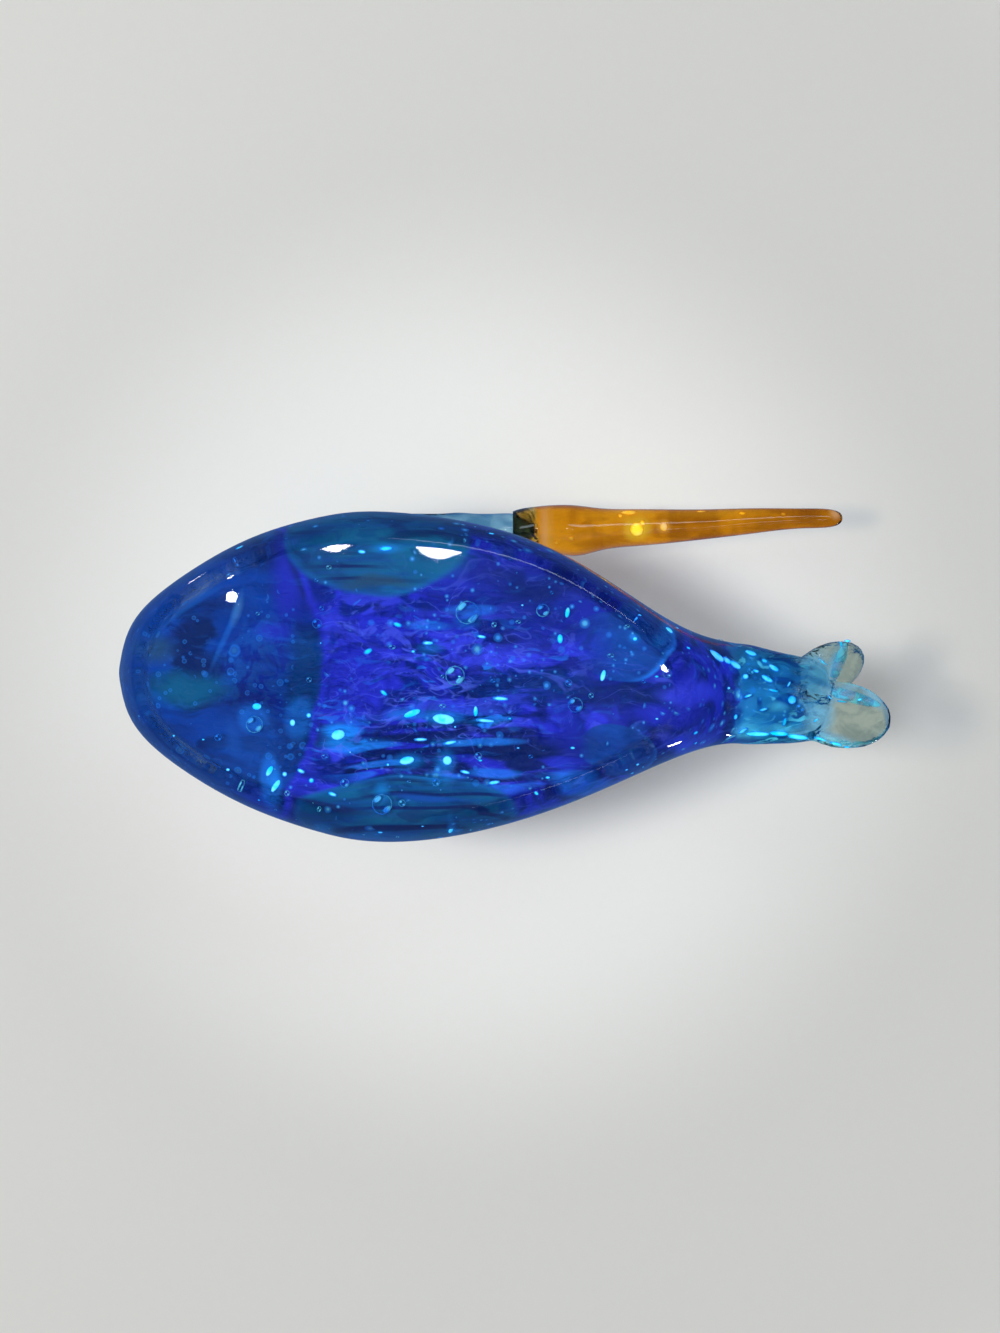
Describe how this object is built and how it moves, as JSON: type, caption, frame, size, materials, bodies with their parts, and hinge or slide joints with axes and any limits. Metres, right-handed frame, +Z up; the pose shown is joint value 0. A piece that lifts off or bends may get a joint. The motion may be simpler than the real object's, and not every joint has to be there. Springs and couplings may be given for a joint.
{
  "type": "bird figurine",
  "caption": "Glass figurine of a long-billed bird on a flat belly: blue body with seeds and streaks, pale neck arched back along the flank, amber bill and lobed tail.",
  "frame": {"origin": "on the flat base, about its middle", "axes": "+X from the breast to the tail, +Z up from the flat base, and the head lies on the -Y side"},
  "size_m": [0.1516, 0.0679, 0.075],
  "materials": {
    "casing_glass": "gloss",
    "cobalt_glass": "gloss",
    "breast_glass": "gloss",
    "wing_glass": "gloss",
    "aqua_glass": "gloss",
    "amber_glass": "gloss",
    "tail_glass": "gloss",
    "clear_glass": "gloss",
    "streak_glass": "gloss",
    "black_glass": "gloss"
  },
  "bodies": {
    "root": {"body_casing": "casing_glass", "body_core": "cobalt_glass", "breast_core": "breast_glass", "left_wing": "wing_glass", "right_wing": "wing_glass", "neck": "aqua_glass", "head": "aqua_glass", "left_eye": "black_glass", "right_eye": "black_glass", "bill": "amber_glass", "tail_stem": "tail_glass", "tail_lobe_left": "clear_glass", "tail_lobe_right": "clear_glass", "tail_streak_left": "streak_glass", "tail_streak_right": "streak_glass"}
  },
  "joints": []
}
